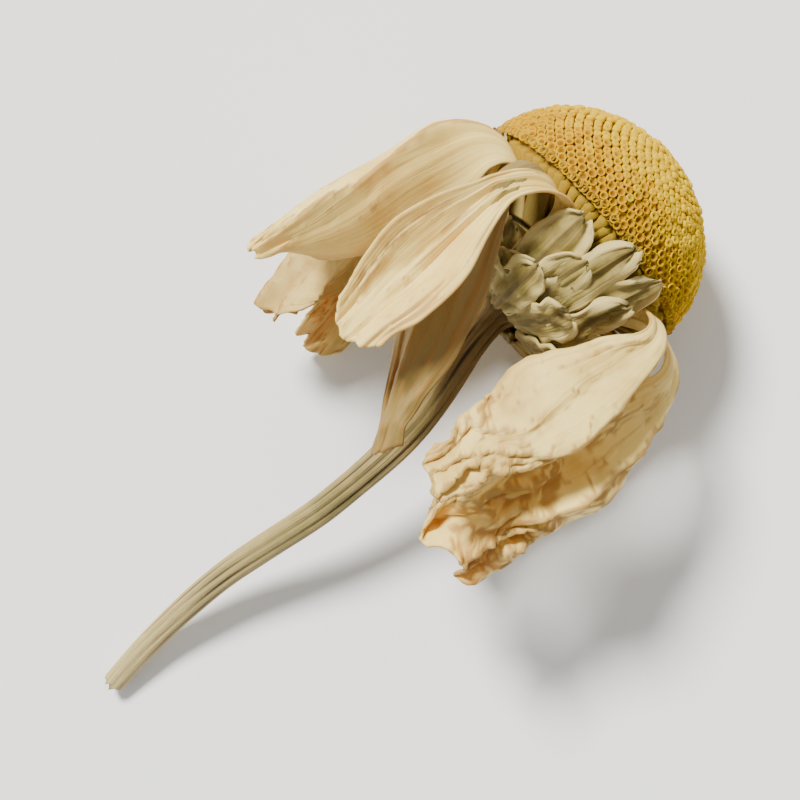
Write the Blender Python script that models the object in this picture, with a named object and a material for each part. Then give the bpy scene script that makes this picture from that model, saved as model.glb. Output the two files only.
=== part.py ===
"""One dried chamomile flower head with its stalk, lying on its side.

The head is four bodies that grew together: the ridged stalk, the involucre of
overlapping green bracts with the base of the receptacle in it, the ring of
cream ray petals, and the yellow dome of disc florets. The stalk runs back
along -X, the dome faces +X and a little down, and +Z is up.

Lengths are in millimetres until finish_nodes() turns them into metres.
"""

import math
import random

import bmesh
import bpy
from mathutils import Matrix, Vector

MM = 0.001
GAP = 0.1

# The head's own frame: its centre is the middle of the dome's rim, local Z runs
# out through the dome, local X is the row's +Y and local Y is nearly up.
HEAD_TILT = math.radians(8)
HEAD_HEIGHT = 3.06
HEAD_CENTRE = Vector((0, 0, HEAD_HEIGHT))

# Disc florets
DOME_RADIUS = 3.3
DOME_LENGTH = 3.35
DOME_WIDEST = 0.35
FLORET_COUNT = 205
FLORET_RELIEF = 0.22
FLORET_CAP = 0.16
FLORET_LAST_FALL = math.radians(90)
RIM_FLORETS = 32
RIM_DROP = 0.55
RIM_FALL = math.radians(122)
NECK_RADIUS = 1.7
NECK_Z = -0.65
DOME_DENT = 0.05

# The petals' roots lie under the disc's sloping underside.
PETAL_THICKNESS = 0.6
RIM_REACH = DOME_RADIUS * math.sin(RIM_FALL)
RIM_Z = DOME_WIDEST + RIM_DROP * math.cos(RIM_FALL)
ROOT_SLOPE = (RIM_Z - NECK_Z) / (RIM_REACH - NECK_RADIUS)
ROOT_DROP = (GAP + PETAL_THICKNESS / 2) * math.hypot(1, ROOT_SLOPE) + 0.03

# Ray petals
PETAL_HALF_WIDTH = 1.32
PETAL_ROWS = 10
PETAL_COLUMNS = 6
PETAL_ROOT_INSET = 0.25
RING_WIDTH = 0.62
RING_HALF_HEIGHT = 0.27
FLOOR_CLEARANCE = 0.02
FLOOR_SOFTNESS = 0.2

# Involucre
PLINTH_RADIUS = 1.5
CUP_RADIUS = 2.4
CUP_BASE_RADIUS = 0.8
CUP_BASE_Z = -2.35
CUP_RIM_HEIGHT = 0.25
CUP_MIDDLE = Vector((0, 0, -1.72))
BRACT_COLUMNS = 2
BRACT_ROWS = 5
BRACT_BACK = 0.78
BRACT_SEED = 3
# Each row of bracts, the inner one first: how many, the share of the cup's height
# where they start and end, half their width, how far they stand off the cup, and
# how far their tips lift.
BRACTS = (
    (15, 0.12, 0.97, 0.52, 0.14, 0.02),
    (11, 0.06, 0.76, 0.54, 0.28, 0.06),
)

# Stalk
STALK_TOP_RADIUS = 0.62
STALK_NECK_RADIUS = 0.46
STALK_END_RADIUS = 0.37
STALK_RIDGES = 9
STALK_RIDGE_SHARE = 0.13
STALK_RINGS = 26
STALK_END = Vector((-16.5, -0.7, STALK_END_RADIUS))

GOLDEN_ANGLE = math.pi * (3 - math.sqrt(5))

# Each petal: angle round the head from +Y towards the top, length, how far it
# turns back (90 is straight back along the stalk), sideways sway at its tip,
# twist at its tip, and how wide it is. The upper five come first.
PETALS = (
    (36, 8.6, 78, 0.3, 20, 0.95),
    (77, 8.8, 92, -0.4, -14, 1.05),
    (57, 9.4, 103, 0.85, 12, 0.8),
    (148, 8.6, 97, -0.3, 16, 0.9),
    (168, 10.2, 86, 0.3, -18, 1.1),
    (196, 8.6, 104, 0.2, 14, 0.85),
    (221, 7.8, 89, 0.5, -38, 0.85),
    (319, 7.8, 89, -0.5, 38, 0.85),
    (349, 8.6, 90, -0.3, -16, 0.95),
)


def clear_scene():
    for obj in list(bpy.data.objects):
        bpy.data.objects.remove(obj)


def head_matrix():
    """Takes the head's own frame to the row's frame."""
    axis = Vector((math.cos(HEAD_TILT), 0, -math.sin(HEAD_TILT)))
    side = Vector((0, 1, 0))
    up = axis.cross(side)
    turn = Matrix((side, up, axis)).transposed().to_4x4()
    return Matrix.Translation(HEAD_CENTRE) @ turn


def material(name, colour, roughness):
    mat = bpy.data.materials.new(name)
    mat.use_nodes = True
    shader = mat.node_tree.nodes["Principled BSDF"]
    shader.inputs["Base Color"].default_value = (*colour, 1)
    shader.inputs["Roughness"].default_value = roughness
    shader.inputs["Metallic"].default_value = 0
    return mat


def mesh_object(name, bm):
    """An object in millimetres, for a body that is still being made."""
    mesh = bpy.data.meshes.new(name)
    bm.to_mesh(mesh)
    bm.free()
    obj = bpy.data.objects.new(name, mesh)
    bpy.context.scene.collection.objects.link(obj)
    return obj


def fuse(core, pieces):
    """Joins pieces into core with one Boolean union, and removes them. The manifold
    solver leaves no two edges nearly in the same place where blades graze."""
    group = bpy.data.collections.new(core.name + "_pieces")
    bpy.context.scene.collection.children.link(group)
    for piece in pieces:
        bpy.context.scene.collection.objects.unlink(piece)
        group.objects.link(piece)
    union = core.modifiers.new("union", "BOOLEAN")
    union.operation = "UNION"
    union.operand_type = "COLLECTION"
    union.collection = group
    union.solver = "MANIFOLD"
    graph = bpy.context.evaluated_depsgraph_get()
    joined = bpy.data.meshes.new_from_object(core.evaluated_get(graph), depsgraph=graph)
    core.modifiers.clear()
    core.data = joined
    for piece in pieces:
        bpy.data.objects.remove(piece)
    bpy.data.collections.remove(group)
    keep_outer_shell(core)
    return core


def keep_outer_shell(obj):
    """Keeps the largest closed surface, which fills hollows that the union sealed
    and drops loose scraps."""
    bm = bmesh.new()
    bm.from_mesh(obj.data)
    unseen = set(bm.verts)
    shells = []
    while unseen:
        front = [unseen.pop()]
        shell = list(front)
        while front:
            for edge in front.pop().link_edges:
                for vert in edge.verts:
                    if vert in unseen:
                        unseen.remove(vert)
                        shell.append(vert)
                        front.append(vert)
        shells.append(shell)
    shells.sort(key=len)
    loose = [vert for shell in shells[:-1] for vert in shell]
    bmesh.ops.delete(bm, geom=loose, context="VERTS")
    bmesh.ops.triangulate(bm, faces=bm.faces)
    bm.to_mesh(obj.data)
    bm.free()


def smooth_step(x):
    x = min(max(x, 0), 1)
    return x * x * (3 - 2 * x)


def polar(radius, angle, z):
    return Vector((radius * math.cos(angle), radius * math.sin(angle), z))


def blade(place, columns, rows, faces_at):
    """A closed thin blade: a grid of (across, along) bent by place(), split into
    triangles before it gets its thickness, so that both faces split alike.
    faces_at(point, normal) gives the point on either face."""
    bm = bmesh.new()
    bmesh.ops.create_grid(bm, x_segments=columns, y_segments=rows, size=1)
    for vert in bm.verts:
        vert.co = place(vert.co.x, (vert.co.y + 1) / 2)
    bmesh.ops.triangulate(bm, faces=bm.faces)
    bm.normal_update()
    lower = bm.verts[:]
    normals = [vert.normal.copy() for vert in lower]
    bmesh.ops.extrude_face_region(bm, geom=bm.faces[:], use_keep_orig=True)
    upper = [vert for vert in bm.verts if vert not in set(lower)]
    partner = {tuple(vert.co): vert for vert in upper}
    pairs = [(vert, partner[tuple(vert.co)]) for vert in lower]
    for (under, over), normal in zip(pairs, normals):
        under.co, over.co = faces_at(under.co.copy(), normal)
    bmesh.ops.recalc_face_normals(bm, faces=bm.faces)
    return bm


def petal_faces(point, normal):
    return point - normal * PETAL_THICKNESS / 2, point + normal * PETAL_THICKNESS / 2


def bract_faces(point, _normal):
    """A bract's back is its face drawn in towards the middle of the cup."""
    return CUP_MIDDLE.lerp(point, BRACT_BACK), point


def dome_point(fall, angle):
    """A point of the dome, fall being the angle from its tip, with soft dents."""
    dent = 1 + DOME_DENT * math.sin(2 * angle + 0.6) * math.sin(fall) ** 2
    length = DOME_LENGTH - DOME_WIDEST if fall < math.pi / 2 else RIM_DROP
    reach = DOME_RADIUS * math.sin(fall) * dent
    return polar(reach, angle, DOME_WIDEST + length * math.cos(fall))


def disc_florets():
    """The dome: a golden-angle lattice of florets, each a small six-sided stud
    between valleys, over an underside ribbed by the outer florets' tubes."""
    bm = bmesh.new()
    share = 1 - math.cos(FLORET_LAST_FALL)
    florets = set()
    for number in range(FLORET_COUNT):
        fall = math.acos(1 - share * (number + 0.5) / FLORET_COUNT)
        vert = bm.verts.new(dome_point(fall, number * GOLDEN_ANGLE))
        florets.add(vert)
    rim = [
        bm.verts.new(dome_point(RIM_FALL, math.pi * step / RIM_FLORETS))
        for step in range(2 * RIM_FLORETS)
    ]
    hull = bmesh.ops.convex_hull(bm, input=bm.verts)
    spare = list({*hull["geom_interior"], *hull["geom_unused"]})
    bmesh.ops.delete(bm, geom=spare, context="VERTS")
    florets = {vert for vert in florets if vert.is_valid}
    rim_set = {vert for vert in rim if vert.is_valid}
    cap = [face for face in bm.faces if all(vert in rim_set for vert in face.verts)]
    bmesh.ops.delete(bm, geom=cap, context="FACES")

    lattice_edges = [e for e in bm.edges if all(vert in florets for vert in e.verts)]
    poked = bmesh.ops.poke(bm, faces=bm.faces)
    bm.normal_update()
    for valley in poked["verts"]:
        valley.co -= valley.normal * FLORET_RELIEF
    bmesh.ops.rotate_edges(bm, edges=lattice_edges, use_ccw=False)
    studs = [vert for vert in bm.verts if vert in florets]
    bmesh.ops.bevel(bm, geom=studs, offset=FLORET_CAP, segments=1, profile=0.5,
                    affect="VERTICES", material=-1)

    underside = [e for e in bm.edges if e.is_boundary]
    rings = ((0.72, 0.1), (0.36, 0.08), (0, 0))
    for outward, rib in rings:
        made = bmesh.ops.extrude_edge_only(bm, edges=underside)["geom"]
        ring = [item for item in made if isinstance(item, bmesh.types.BMVert)]
        underside = [item for item in made if isinstance(item, bmesh.types.BMEdge)]
        for vert in ring:
            angle = math.atan2(vert.co.y, vert.co.x)
            wave = math.cos(RIM_FLORETS * angle)
            rim_reach = dome_point(RIM_FALL, angle).to_2d().length
            reach = NECK_RADIUS + (rim_reach - NECK_RADIUS) * outward
            height = NECK_Z + (RIM_Z - NECK_Z) * outward - rib * (0.5 + 0.5 * wave)
            vert.co = polar(reach, angle, max(height, NECK_Z))
    bmesh.ops.holes_fill(bm, edges=underside)
    bmesh.ops.triangulate(bm, faces=bm.faces)
    bmesh.ops.recalc_face_normals(bm, faces=bm.faces)
    return mesh_object("disc_florets", bm)


def petal_place(angle_deg, length, turn_deg, sway, twist_deg, width, start):
    """Bends a flat petal: out between disc and bracts, back over the bracts, and
    along the stalk, with a waved face and a three-toothed tip."""
    angle = math.radians(angle_deg)
    outward = polar(1, angle, 0)
    across = polar(1, angle + math.pi / 2, 0)
    lean = math.atan(ROOT_SLOPE)
    turn = math.radians(turn_deg)
    steps = 48
    line = [Vector((start, petal_mid_z(start)))]
    headings = []
    for step in range(steps):
        along = (step + 0.5) / steps
        bend = 0.88 * smooth_step((along - 0.08) / 0.27) + 0.12 * smooth_step(along)
        heading = lean - (turn + lean) * bend
        headings.append(heading)
        line.append(line[-1] + Vector((math.cos(heading), math.sin(heading))) * length / steps)

    to_row = head_matrix()
    to_head = to_row.inverted()
    lowest = FLOOR_CLEARANCE + PETAL_THICKNESS * 0.5

    def place(w, s):
        belly = 0.2 + 0.8 * smooth_step(s / 0.55) - 0.34 * smooth_step((s - 0.72) / 0.28)
        half = PETAL_HALF_WIDTH * width * belly
        tooth = 0.032 * math.cos(3 * math.pi * w) - 0.045 * w * w
        s_cut = s + tooth * smooth_step((s - 0.8) / 0.2)
        place_on = min(max(s_cut, 0), 0.9999) * steps
        step = int(place_on)
        at = line[step].lerp(line[step + 1], place_on - step)
        heading = headings[step]
        tangent = outward * math.cos(heading) + Vector((0, 0, math.sin(heading)))
        normal = tangent.cross(across).normalized()
        twist = math.radians(twist_deg) * smooth_step((s - 0.12) / 0.6)
        side = across * math.cos(twist) + normal * math.sin(twist)
        up = normal * math.cos(twist) - across * math.sin(twist)
        arch = 0.34 * half * w * w * smooth_step(s / 0.4)
        wave = 0.16 * math.sin(5.5 * s + 2.2 * w + angle_deg) * smooth_step((s - 0.3) / 0.5)
        point = outward * at.x + Vector((0, 0, at.y))
        point += across * sway * s * s * 2
        point += side * half * w + up * (wave - arch)
        row_point = to_row @ point
        above = row_point.z - lowest
        row_point.z = lowest + (above + math.hypot(above, FLOOR_SOFTNESS)) / 2
        return to_head @ row_point

    return place


def petal_mid_z(radius):
    """Height of the middle of a petal's root, under the disc's sloping side."""
    return NECK_Z + ROOT_SLOPE * (radius - NECK_RADIUS) - ROOT_DROP


def ray_petals():
    """The petals, fused to the narrow ring where their short tubes stand."""
    inner = PLINTH_RADIUS + GAP
    outer = inner + RING_WIDTH
    bm = bmesh.new()
    corners = [
        bm.verts.new((radius, 0, petal_mid_z(radius) + side * RING_HALF_HEIGHT))
        for radius, side in ((inner, -1), (outer, -1), (outer, 1), (inner, 1))
    ]
    loop = [bm.edges.new((corners[i], corners[(i + 1) % 4])) for i in range(4)]
    bmesh.ops.spin(bm, geom=corners + loop, cent=(0, 0, 0), axis=(0, 0, 1),
                   angle=2 * math.pi, steps=44, use_merge=True)
    bmesh.ops.recalc_face_normals(bm, faces=bm.faces)
    ring = mesh_object("ray_petals", bm)
    petals = []
    for number, sizes in enumerate(PETALS):
        place = petal_place(*sizes, start=inner + PETAL_ROOT_INSET)
        bm = blade(place, PETAL_COLUMNS, PETAL_ROWS, petal_faces)
        petals.append(mesh_object(f"petal_{number}", bm))
    return fuse(ring, petals)


def cup_profile(share):
    """Outside of the cup: share 0 at the stalk, 1 at the rim. Returns radius, z."""
    bend = share * math.pi / 2
    rim_z = petal_mid_z(CUP_RADIUS) - ROOT_DROP - CUP_RIM_HEIGHT
    radius = CUP_BASE_RADIUS + (CUP_RADIUS - CUP_BASE_RADIUS) * math.sin(bend) ** 0.92
    z = rim_z + (CUP_BASE_Z - rim_z) * math.cos(bend) ** 1.15
    return radius, z


def cup():
    """The shallow cup with the plinth that carries the disc."""
    plinth_z = NECK_Z - GAP
    profile = [(0, plinth_z), (PLINTH_RADIUS, plinth_z)]
    profile += [
        (radius, petal_mid_z(radius) - ROOT_DROP) for radius in (PLINTH_RADIUS, CUP_RADIUS)
    ]
    profile += [cup_profile(1 - step / 7) for step in range(8)]
    profile += [(0, CUP_BASE_Z)]
    bm = bmesh.new()
    verts = [bm.verts.new((radius, 0, z)) for radius, z in profile]
    edges = [bm.edges.new(pair) for pair in zip(verts, verts[1:])]
    bmesh.ops.spin(bm, geom=verts + edges, cent=(0, 0, 0), axis=(0, 0, 1),
                   angle=2 * math.pi, steps=40, use_merge=True)
    bmesh.ops.remove_doubles(bm, verts=bm.verts, dist=0.0001)
    bmesh.ops.recalc_face_normals(bm, faces=bm.faces)
    return mesh_object("involucre", bm)


def bract_place(angle, start, end, half_width, stand_off, lift):
    """Lays a bract on the cup from share start to end, blunt-tipped, its edges
    pressed down and its tip lifted a little."""

    def place(w, s):
        share = start + (end - start) * s
        radius, z = cup_profile(min(share, 1))
        ahead = Vector(cup_profile(min(share, 1) - 0.02))
        tangent = (Vector((radius, z)) - ahead).normalized()
        beyond = max(share - 1, 0) * 2.4
        normal = Vector((tangent.y, -tangent.x))
        height = stand_off + lift * s * s - 0.12 * w * w
        at = Vector((radius, z)) + tangent * beyond + normal * height
        outline = math.sqrt(max(1 - max((s - 0.62) / 0.38, 0) ** 2.4, 0.03))
        half = half_width * (0.42 + 0.58 * smooth_step(s / 0.5)) * outline
        return polar(at.x, angle, at.y) + polar(1, angle + math.pi / 2, 0) * half * w

    return place


def involucre():
    """Two rows of overlapping bracts, fused to the cup that they cover."""
    draw = random.Random(BRACT_SEED)
    bracts = []
    for count, start, end, half_width, stand_off, lift in BRACTS:
        for number in range(count):
            angle = 2 * math.pi * (number + draw.uniform(-0.12, 0.12)) / count
            reach = end + draw.uniform(-0.05, 0.03)
            proud = stand_off + 0.07 * (number % 2) + draw.uniform(-0.01, 0.01)
            place = bract_place(angle, start, reach, half_width, proud, lift)
            bm = blade(place, BRACT_COLUMNS, BRACT_ROWS, bract_faces)
            bracts.append(mesh_object(f"bract_{len(bracts)}", bm))
    return fuse(cup(), bracts)


def catmull(points, share):
    """A point on the smooth curve through points, share running from 0 to 1."""
    last = len(points) - 1
    place = min(max(share, 0), 0.99999) * last
    i = int(place)
    t = place - i
    before, a, b, after = (points[min(max(i + k, 0), last)] for k in (-1, 0, 1, 2))
    slope_a = (b - before) / 2
    slope_b = (after - a) / 2
    return (a * (2 * t**3 - 3 * t**2 + 1) + slope_a * (t**3 - 2 * t**2 + t)
            + b * (3 * t**2 - 2 * t**3) + slope_b * (t**3 - t**2))


def stalk():
    """The ridged stalk, swept from under the head down to its cut end."""
    to_row = head_matrix()
    top = to_row @ Vector((0, 0, CUP_BASE_Z - GAP))
    back = to_row.to_3x3() @ Vector((0, 0, -1))
    route = [
        top,
        top + back * 1.3 + Vector((0, -0.25, -0.03)),
        Vector((-6.0, -0.85, 3.15)),
        Vector((-9.0, -0.9, 2.35)),
        Vector((-12.2, -0.5, 1.4)),
        Vector((-14.6, -0.5, 0.78)),
        STALK_END,
    ]
    bm = bmesh.new()
    rings = []
    sides = 2 * STALK_RIDGES
    for ring in range(STALK_RINGS + 1):
        share = ring / STALK_RINGS
        at = catmull(route, share)
        ahead = catmull(route, min(share + 0.01, 1)) - catmull(route, max(share - 0.01, 0))
        if ring == 0:
            ahead = back
        side = Vector((0, 1, 0)).cross(ahead).normalized()
        up = ahead.normalized().cross(side)
        flare = (STALK_TOP_RADIUS - STALK_NECK_RADIUS) * (1 - smooth_step(share / 0.12))
        taper = STALK_NECK_RADIUS + (STALK_END_RADIUS - STALK_NECK_RADIUS) * share
        radius = taper + flare
        verts = []
        for step in range(sides):
            angle = 2 * math.pi * (step + 0.5) / sides + 0.5 * share
            ridge = 1 + STALK_RIDGE_SHARE * (1 if step % 2 else -1) * (1 - 0.3 * share)
            offset = side * math.cos(angle) + up * math.sin(angle)
            point = at + offset * radius * ridge
            point.z = max(point.z, 0)
            verts.append(bm.verts.new(point))
        rings.append(verts)
    for first, second in zip(rings, rings[1:]):
        for step in range(sides):
            after = (step + 1) % sides
            bm.faces.new((first[step], first[after], second[after], second[step]))
    bm.faces.new(rings[0])
    bm.faces.new(rings[-1])
    bmesh.ops.triangulate(bm, faces=bm.faces)
    bmesh.ops.recalc_face_normals(bm, faces=bm.faces)
    return mesh_object("stalk", bm)


def rest_on_floor(obj):
    """Cuts off what is under the floor and closes the cut with a flat face."""
    bm = bmesh.new()
    bm.from_mesh(obj.data)
    geom = bm.verts[:] + bm.edges[:] + bm.faces[:]
    cut = bmesh.ops.bisect_plane(bm, geom=geom, dist=0.00001, plane_co=(0, 0, 0),
                                 plane_no=(0, 0, -1), clear_outer=True)
    edges = [item for item in cut["geom_cut"] if isinstance(item, bmesh.types.BMEdge)]
    if edges:
        bmesh.ops.holes_fill(bm, edges=edges)
        bmesh.ops.triangulate(bm, faces=bm.faces)
        bmesh.ops.recalc_face_normals(bm, faces=bm.faces)
    bm.to_mesh(obj.data)
    bm.free()


def finish_nodes(nodes):
    """Moves the bottom centre of the whole to the origin, in metres."""
    corners = [vert.co for obj in nodes for vert in obj.data.vertices]
    low = Vector(map(min, *corners))
    high = Vector(map(max, *corners))
    centre = Vector(((low.x + high.x) / 2, (low.y + high.y) / 2, low.z))
    for obj in nodes:
        obj.data.transform(Matrix.Diagonal((MM, MM, MM, 1)) @ Matrix.Translation(-centre))
        obj.data.shade_smooth()
        obj.data.set_sharp_from_angle(angle=math.radians(35))
        obj.data.update()


def main():
    clear_scene()
    finishes = {
        "stalk": ((0.44, 0.42, 0.2), 0.75),
        "involucre": ((0.5, 0.46, 0.24), 0.8),
        "ray_petals": ((0.82, 0.68, 0.4), 0.7),
        "disc_florets": ((0.78, 0.5, 0.06), 0.8),
    }
    head = [disc_florets(), ray_petals(), involucre()]
    for obj in head:
        obj.data.transform(head_matrix())
    nodes = [*head, stalk()]
    rest_on_floor(nodes[0])
    for obj in nodes:
        colour, roughness = finishes[obj.name]
        obj.data.materials.clear()
        obj.data.materials.append(material(obj.name, colour, roughness))
    finish_nodes(nodes)


main()
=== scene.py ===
"""The looks of a dried chamomile flower head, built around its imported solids.

Shapes are worked out in millimetres, in the head's own frame or in the row's, and
turned into metres when a piece is finished. The head's own frame has its middle at
the dome's rim, local Z out through the dome, local X along the row's +Y, and local
Y nearly up.
"""

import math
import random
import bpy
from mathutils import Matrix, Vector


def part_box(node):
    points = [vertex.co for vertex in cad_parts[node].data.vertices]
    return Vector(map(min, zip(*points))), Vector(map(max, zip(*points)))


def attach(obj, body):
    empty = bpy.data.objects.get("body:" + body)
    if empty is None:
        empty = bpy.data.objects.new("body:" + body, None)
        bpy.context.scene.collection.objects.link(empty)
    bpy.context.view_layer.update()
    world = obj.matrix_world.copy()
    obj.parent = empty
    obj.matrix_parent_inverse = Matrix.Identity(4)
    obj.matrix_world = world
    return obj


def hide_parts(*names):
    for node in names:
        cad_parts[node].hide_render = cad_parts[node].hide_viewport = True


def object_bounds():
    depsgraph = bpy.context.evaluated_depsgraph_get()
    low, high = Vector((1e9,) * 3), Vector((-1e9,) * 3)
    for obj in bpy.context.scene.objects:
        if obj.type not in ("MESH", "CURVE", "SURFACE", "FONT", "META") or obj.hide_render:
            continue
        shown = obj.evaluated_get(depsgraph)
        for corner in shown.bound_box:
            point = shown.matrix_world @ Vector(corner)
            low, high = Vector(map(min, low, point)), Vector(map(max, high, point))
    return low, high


bl_info = {
    "name": "Dried Chamomile Head",
    "version": (1, 0, 0),
    "blender": (4, 5, 0),
    "location": "3D View > Sidebar > Chamomile",
    "description": "Dresses a dried chamomile head: florets, petals, bracts and stalk",
    "category": "Add Mesh",
}

from collections import namedtuple

import bmesh
import bpy
from mathutils import Matrix, Vector, noise

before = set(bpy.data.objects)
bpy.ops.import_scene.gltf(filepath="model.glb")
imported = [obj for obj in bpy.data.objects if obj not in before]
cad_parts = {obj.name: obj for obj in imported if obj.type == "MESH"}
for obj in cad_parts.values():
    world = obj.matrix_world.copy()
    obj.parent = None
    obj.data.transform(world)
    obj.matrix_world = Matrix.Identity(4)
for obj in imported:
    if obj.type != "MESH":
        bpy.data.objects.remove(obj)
CAD_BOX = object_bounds()

MM = 0.001
GOLDEN_ANGLE = math.pi * (3 - math.sqrt(5))
# How far above the floor a piece's lowest face stays, in metres
FLOOR_SKIN = 0.00001

# The head's place
DISC_LOW, DISC_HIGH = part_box("disc_florets")
HEAD_TILT = math.radians(8)
HEAD_HEIGHT = 3.06
TIP_REACH = 3.26
HEAD_CENTRE = Vector((
    DISC_HIGH.x / MM - TIP_REACH,
    (DISC_LOW.y + DISC_HIGH.y) / 2 / MM,
    HEAD_HEIGHT,
))

# The dome of florets. A fall is an angle from the dome's tip, down to its rim.
DOME_RADIUS = 3.3
DOME_LENGTH = 3.35
DOME_WIDEST = 0.35
DOME_DENT = 0.05
LAST_FALL = math.radians(97)
RIM_FALL = math.radians(122)
RIM_DROP = 0.55
NECK_RADIUS = 1.7
NECK_Z = -0.65
FLORET_SIDES = 10
FLORET_KINDS = 6
FLORET_SIZE = 0.78
FLORET_GROWTH = 0.08
FLORET_LEAN = 0.16
FLORET_SINK = 0.07
RIPE_SPAN = 0.35
RIM_TUBES = 78
TUBE_TOP_RADIUS = 0.15
TUBE_FOOT_RADIUS = 0.07
RIM_REACH = DOME_RADIUS * math.sin(RIM_FALL)
RIM_Z = DOME_WIDEST + RIM_DROP * math.cos(RIM_FALL)
ROOT_SLOPE = (RIM_Z - NECK_Z) / (RIM_REACH - NECK_RADIUS)
ROOT_DROP = 0.4 * math.hypot(1, ROOT_SLOPE) + 0.03

# Each ring of a floret, from its foot up: reach at its five lobes, reach at the
# notches between them, height under its top, and how deep in shade it lies.
BUD_RINGS = (
    (0.1, 0.09, -0.26, 0.9),
    (0.15, 0.13, -0.12, 0.35),
    (0.14, 0.11, -0.04, 0.05),
    (0.08, 0.055, 0.0, 0.0),
    (0.03, 0.012, -0.02, 0.3),
)
OPEN_RINGS = (
    (0.09, 0.085, -0.26, 0.9),
    (0.125, 0.105, -0.12, 0.4),
    (0.165, 0.11, 0.0, 0.0),
    (0.09, 0.07, -0.05, 0.6),
    (0.04, 0.04, -0.12, 1.0),
)
# The receptacle's size against the dome's
CORE_SHARE = 0.945

# The petals, the upper five first
PETAL_HALF_WIDTH = 1.32
PETAL_START = 1.85
PETAL_LIFT = 0.22
PETAL_COLUMNS = 36
PETAL_ROWS = 100
PETAL_LINE_STEPS = 96
PETAL_ROOT_SHARE = 0.3
PETAL_WAVE = 0.16
# How strongly a fold's sharpness is marked, for the painted shade in the petals' folds
VALLEY_STRENGTH = 60
# Height, how fine it is across and along the petal, and its seed
PETAL_CREASES = ((0.07, 2.6, 1.5, 31), (0.05, 6, 2.4, 37))
PETAL_CRUMPLES = ((0.42, 1.9, 8, 9), (0.2, 4, 15, 13))
# The lowest that a petal bends, and how softly it meets that height
FLOOR_GAP = 0.3
FLOOR_SOFTNESS = 0.2
# Angle round the head from +Y towards the top, length, how far it turns back, how
# far it leans sideways near its root and at its tip, its twist, its width, how long
# its neck is, how much its tip narrows, how its edges curl, the depth and the line of
# its long fold, how crumpled it is, and how grey it is, partly with age and partly as
# painted shade where it lies under the head or under other petals.
Petal = namedtuple(
    "Petal", "angle reach turn lean sway twist width neck taper curl fold line crumple grey"
)
PETALS = tuple(Petal(*sizes) for sizes in (
    (36, 8.6, 80, -0.6, 0.0, -34, 0.94, 0.0, 0.74, 0.5, 1.4, 0.25, 0.22, 0.0),
    (77, 8.0, 90, -1.1, 0.1, -12, 0.9, 0.3, 0.38, -0.7, 0.2, -0.35, 0.14, 0.0),
    (57, 9.8, 116, 0.1, 0.9, -4, 0.84, 0.2, 0.55, 0.3, 0.7, 0.2, 0.2, 1.4),
    (148, 8.8, 101, -0.5, -0.5, 16, 0.8, 0.12, 0.35, 0.35, 1.1, 0.2, 0.8, 0.3),
    (168, 9.8, 97, -0.2, -0.2, 54, 1.12, 0.17, 0.0, -0.2, 1.2, 0.05, 1.45, 0.15),
    (196, 8.6, 104, 0.0, 0.2, 14, 0.85, 0.05, 0.34, 0.4, 0.6, 0.0, 0.4, 0.5),
    (221, 7.8, 89, 0.0, 0.5, -38, 0.85, 0.05, 0.34, 0.35, 0.5, 0.1, 0.3, 0.5),
    (319, 7.8, 89, 0.0, -0.5, 38, 0.85, 0.05, 0.34, 0.35, 0.5, -0.1, 0.3, 0.5),
    (349, 8.4, 94, 0.0, -0.3, -16, 0.85, 0.05, 0.4, 0.4, 0.8, 0.0, 0.3, 0.6),
))

# The cup and its bracts
CUP_RADIUS = 2.4
CUP_BASE_RADIUS = 0.8
CUP_BASE_Z = -2.35
CUP_RIM_HEIGHT = 0.25
CUP_STEPS = 14
CUP_SIDES = 96
BRACT_COLUMNS = 14
BRACT_LENGTHS = 26
# How many in a row, where a bract starts and ends up the cup, half its width, how
# far it stands off, how far its tip lifts, and how much further it reaches where
# no petal is near.
BRACT_ROWS = (
    (17, 0.12, 1.05, 0.62, 0.12, 0.05, 0.78),
    (14, 0.1, 0.88, 0.62, 0.22, 0.14, 0.5),
    (12, 0.06, 0.66, 0.58, 0.32, 0.18, 0.3),
)
# How a bract is bent: its hollow sides, its midrib, its waves, its creases and its
# ruffled edges, as heights
BRACT_HOLLOW = 0.07
BRACT_MIDRIB = 0.05
BRACT_WAVE = 0.26
BRACT_CREASE = 0.2
BRACT_RUFFLE = 0.2
# Millimetres past the cup's rim to each unit of reach, and how far that part spreads
BRACT_BEYOND = 2.4
BRACT_SPREAD = 0.5
# Degrees from a petal within which a bract is short, and over which it grows
BRACT_NEAR = 5
BRACT_NEAR_SPAN = 7

# The stalk
STALK_TOP_RADIUS = 0.72
STALK_NECK_RADIUS = 0.43
STALK_END_RADIUS = 0.28
STALK_RIDGES = 9
STALK_SIDES = 72
STALK_RINGS = 220
STALK_GAP = 0.1
STALK_FLARE_SHARE = 0.09
STALK_TURN = 0.9
STALK_SWELL = 0.05
STALK_TEAR = 0.35
STALK_FLOOR = 0.01
# Its route, from under the head to its cut end, in the row's frame with the head's
# middle at x 0 and y 0.
STALK_ROUTE = (
    (-6.0, -0.85, 3.15),
    (-9.0, -0.9, 2.35),
    (-12.2, -0.5, 1.4),
    (-14.6, -0.5, 0.7),
    (-16.5, -0.7, 0.29),
)

# The camera looks straight down, turned so that the stalk comes up from the lower
# left, as in the photograph.
IMAGE_TURN = math.radians(-41.5)
FRAME_WIDTH = 20.2
FRAME_SHIFT = (0.79, 0.41)
LENS = 100
SENSOR = 36
KEY_TURN = (math.radians(-34), math.radians(-24), IMAGE_TURN)
KEY_WIDTH = math.radians(14)
KEY_COLOUR = (1, 0.98, 0.94)


# Small helpers

def smooth_step(x):
    x = min(max(x, 0), 1)
    return x * x * (3 - 2 * x)


def mix(a, b, share):
    return a + (b - a) * share


def polar(radius, angle, z):
    return Vector((radius * math.cos(angle), radius * math.sin(angle), z))


def wander(x, y, seed):
    """A smooth random number from -1 to 1."""
    return noise.noise(Vector((x, y, seed * 7.31)))


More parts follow.
